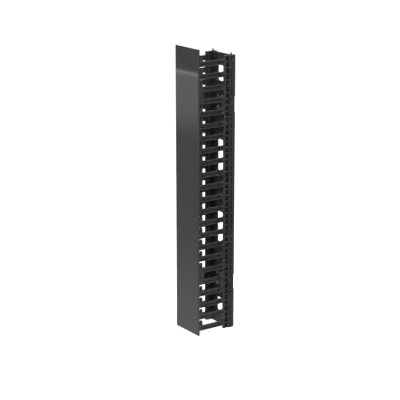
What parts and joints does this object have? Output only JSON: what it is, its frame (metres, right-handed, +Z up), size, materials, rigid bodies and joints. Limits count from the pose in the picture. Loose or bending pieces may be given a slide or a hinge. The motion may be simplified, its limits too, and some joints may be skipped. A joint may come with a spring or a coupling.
{
  "type": "vertical cable manager",
  "caption": "Tall vertical cable manager with two moulded finger fences on a back panel and a door that hinges and latches on either side.",
  "frame": {"origin": "middle of the footprint on the lowest plane, which the door's lower edge and the fences' lower ends share", "axes": "+X to the right seen from the door, +Y from the door to the rack, +Z up"},
  "size_m": [0.1434, 0.166, 1.0554],
  "materials": {
    "fence_plastic": "black injection-moulded plastic, fine satin grain, slightly lighter on moulded edges",
    "liner_plastic": "black moulded plastic edge liner, smooth matte",
    "panel_paint": "black powder-coated sheet steel, very fine orange peel",
    "bracket_paint": "black powder-coated steel",
    "hinge_plastic": "black glass-filled nylon, satin",
    "door_paint": "black semi-gloss powder coat with fine orange peel, plain and unmarked",
    "pin_steel": "zinc-plated turned steel",
    "tab_plastic": "black nylon, satin",
    "spring_steel": "drawn spring wire",
    "fastener_steel": "zinc-plated steel",
    "black_steel": "black-oxide steel"
  },
  "bodies": {
    "manager_body": {"back_panel": "panel_paint", "fence_right_upper": "fence_plastic", "fence_right_lower": "fence_plastic", "fence_left_upper": "fence_plastic", "fence_left_lower": "fence_plastic", "liner_1": "liner_plastic", "liner_2": "liner_plastic", "liner_3": "liner_plastic", "liner_4": "liner_plastic", "mount_bracket_upper": "bracket_paint", "mount_bracket_lower": "bracket_paint", "bolt_bushes": "fastener_steel", "panel_screws": "fastener_steel", "bracket_screws": "fastener_steel", "hinge_socket_right_upper": "hinge_plastic", "hinge_socket_right_lower": "hinge_plastic", "hinge_socket_left_upper": "hinge_plastic", "hinge_socket_left_lower": "hinge_plastic", "socket_screws": "black_steel"},
    "door": {"door_panel": "door_paint", "carrier_right_upper": "hinge_plastic", "carrier_right_lower": "hinge_plastic", "carrier_left_upper": "hinge_plastic", "carrier_left_lower": "hinge_plastic", "carrier_studs": "fastener_steel", "carrier_nuts": "fastener_steel", "latch_spring_right_upper": "spring_steel", "latch_spring_right_lower": "spring_steel", "latch_spring_left_upper": "spring_steel", "latch_spring_left_lower": "spring_steel"},
    "pin_right_upper": {"latch_pin_right_upper": "pin_steel", "lift_tab_right_upper": "tab_plastic"},
    "pin_right_lower": {"latch_pin_right_lower": "pin_steel", "lift_tab_right_lower": "tab_plastic"},
    "pin_left_upper": {"latch_pin_left_upper": "pin_steel", "lift_tab_left_upper": "tab_plastic"},
    "pin_left_lower": {"latch_pin_left_lower": "pin_steel", "lift_tab_left_lower": "tab_plastic"}
  },
  "joints": [
    {"name": "door_hinge", "type": "hinge", "parent": "manager_body", "child": "door", "pos_m": [-0.0625, -0.0756, 0], "axis": [0, 0, -1], "range_deg": [0, 105]},
    {"name": "latch_right_upper", "type": "slide", "parent": "door", "child": "pin_right_upper", "axis": [0, 0, 1], "range_m": [0, 0.009], "stiffness_N_per_m": 370, "springref_m": -0.006, "deforming": ["latch_spring_right_upper"]},
    {"name": "latch_right_lower", "type": "slide", "parent": "door", "child": "pin_right_lower", "axis": [0, 0, 1], "range_m": [0, 0.009], "stiffness_N_per_m": 370, "springref_m": -0.006, "deforming": ["latch_spring_right_lower"]},
    {"name": "latch_left_upper", "type": "slide", "parent": "door", "child": "pin_left_upper", "axis": [0, 0, 1], "range_m": [0, 0.009], "stiffness_N_per_m": 370, "springref_m": -0.006, "deforming": ["latch_spring_left_upper"]},
    {"name": "latch_left_lower", "type": "slide", "parent": "door", "child": "pin_left_lower", "axis": [0, 0, 1], "range_m": [0, 0.009], "stiffness_N_per_m": 370, "springref_m": -0.006, "deforming": ["latch_spring_left_lower"]}
  ]
}
